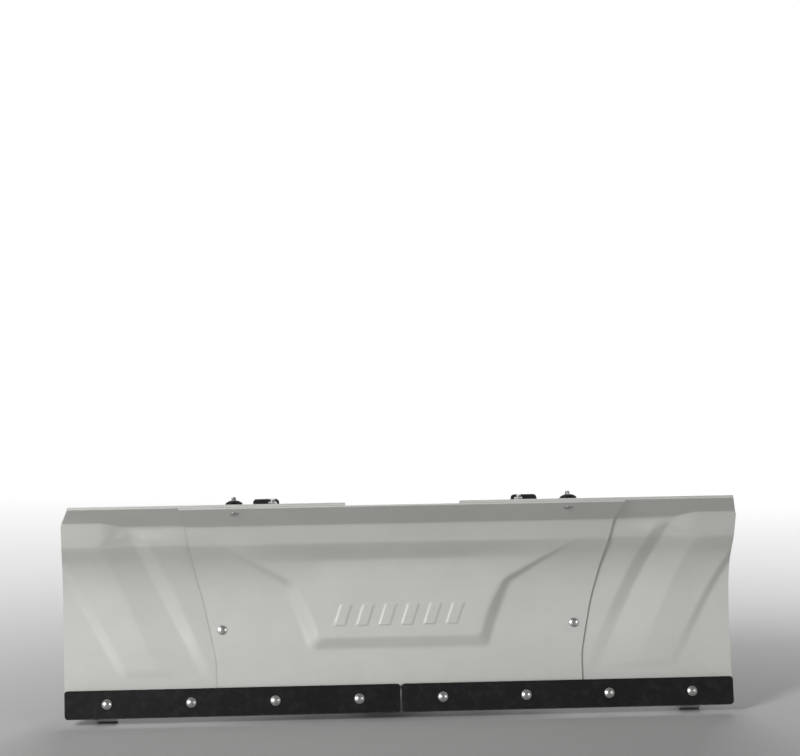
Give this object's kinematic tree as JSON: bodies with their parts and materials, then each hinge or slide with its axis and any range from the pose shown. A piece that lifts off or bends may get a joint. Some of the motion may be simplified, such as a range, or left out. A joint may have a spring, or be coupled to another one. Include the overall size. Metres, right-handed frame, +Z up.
{
  "type": "atv plow blade",
  "caption": "Extending ATV snow plow blade: concave centre panel with sliding wings, black wear bars, skid shoes, clamp knobs and a spring trip head.",
  "frame": {"origin": "on the ground, midway along the width and midway between the rim and the rear of the swivel", "axes": "+X along the blade to the right seen from in front, +Y to the rear, +Z up; the blade faces -Y"},
  "size_m": [1.219, 0.3264, 0.4217],
  "materials": {
    "panel_paint": "satin light grey powder coat",
    "frame_paint": "satin black powder coat",
    "bar_paint": "semi-matt black paint on steel",
    "zinc": "bright zinc plate",
    "shoe_steel": "bare steel, worn underneath",
    "spring_steel": "black oxide",
    "knob_plastic": "moulded, fine grain",
    "rubber": "moulded rubber"
  },
  "bodies": {
    "blade": {"centre_panel": "panel_paint", "left_frame_rib": "frame_paint", "right_frame_rib": "frame_paint", "lower_channel": "frame_paint", "upper_channel": "frame_paint", "centre_spine": "frame_paint", "left_trip_lugs": "frame_paint", "right_trip_lugs": "frame_paint", "left_spring_bracket": "frame_paint", "right_spring_bracket": "frame_paint", "left_eyebolt": "zinc", "right_eyebolt": "zinc", "eyebolt_nuts": "zinc", "face_bolts": "zinc", "lip_bolts": "zinc", "clamp_washers": "zinc", "trip_pins": "zinc", "trip_pin_clips": "zinc", "trip_bumpers": "rubber", "left_trip_spring": "spring_steel", "right_trip_spring": "spring_steel"},
    "left_wing": {"left_wing_panel": "panel_paint", "left_wear_bar": "bar_paint", "left_spacer_strip": "bar_paint", "left_wear_bar_bolts": "zinc", "left_wear_bar_nuts": "zinc", "left_end_rib": "panel_paint", "left_stiffeners": "panel_paint", "left_shoe_socket": "panel_paint", "left_shoe_set_bolt": "zinc"},
    "left_shoe": {"left_shoe_foot": "shoe_steel", "left_shoe_stem": "shoe_steel", "left_shoe_keeper": "zinc"},
    "left_face_knob": {"left_face_knob": "knob_plastic"},
    "left_lip_knob": {"left_lip_knob": "knob_plastic"},
    "right_wing": {"right_wing_panel": "panel_paint", "right_wear_bar": "bar_paint", "right_spacer_strip": "bar_paint", "right_wear_bar_bolts": "zinc", "right_wear_bar_nuts": "zinc", "right_end_rib": "panel_paint", "right_stiffeners": "panel_paint", "right_shoe_socket": "panel_paint", "right_shoe_set_bolt": "zinc"},
    "right_shoe": {"right_shoe_foot": "shoe_steel", "right_shoe_stem": "shoe_steel", "right_shoe_keeper": "zinc"},
    "right_face_knob": {"right_face_knob": "knob_plastic"},
    "right_lip_knob": {"right_lip_knob": "knob_plastic"},
    "head": {"left_head_arm": "frame_paint", "right_head_arm": "frame_paint", "head_crossbar": "frame_paint", "head_tie": "frame_paint", "upper_swivel_plate": "frame_paint", "lower_swivel_plate": "frame_paint", "left_spring_peg": "zinc", "right_spring_peg": "zinc"}
  },
  "joints": [
    {"name": "left_wing_slide", "type": "slide", "parent": "blade", "child": "left_wing", "axis": [-1, 0, 0], "range_m": [0, 0.152]},
    {"name": "right_wing_slide", "type": "slide", "parent": "blade", "child": "right_wing", "axis": [1, 0, 0], "range_m": [0, 0.152]},
    {"name": "left_shoe_height", "type": "slide", "parent": "left_wing", "child": "left_shoe", "axis": [0, 0, 1], "range_m": [-0.02, 0.008]},
    {"name": "right_shoe_height", "type": "slide", "parent": "right_wing", "child": "right_shoe", "axis": [0, 0, 1], "range_m": [-0.02, 0.008]},
    {"name": "left_face_knob_turn", "type": "hinge", "parent": "blade", "child": "left_face_knob", "pos_m": [-0.322, -0.04229, 0.15708], "axis": [0, 0.9535, -0.3014], "continuous": true},
    {"name": "right_face_knob_turn", "type": "hinge", "parent": "blade", "child": "right_face_knob", "pos_m": [0.322, -0.04229, 0.15708], "axis": [0, 0.9535, -0.3014], "continuous": true},
    {"name": "left_lip_knob_turn", "type": "hinge", "parent": "blade", "child": "left_lip_knob", "pos_m": [-0.3, -0.13814, 0.40352], "axis": [0, 0.606, 0.7955], "continuous": true},
    {"name": "right_lip_knob_turn", "type": "hinge", "parent": "blade", "child": "right_lip_knob", "pos_m": [0.3, -0.13814, 0.40352], "axis": [0, 0.606, 0.7955], "continuous": true},
    {"name": "trip_pivot", "type": "hinge", "parent": "blade", "child": "head", "pos_m": [0, 0.02818, 0.1], "axis": [-1, 0, 0], "range_deg": [0, 25], "stiffness_Nm_per_rad": 150, "springref_deg": -17.19, "deforming": ["left_trip_spring", "right_trip_spring"]}
  ]
}
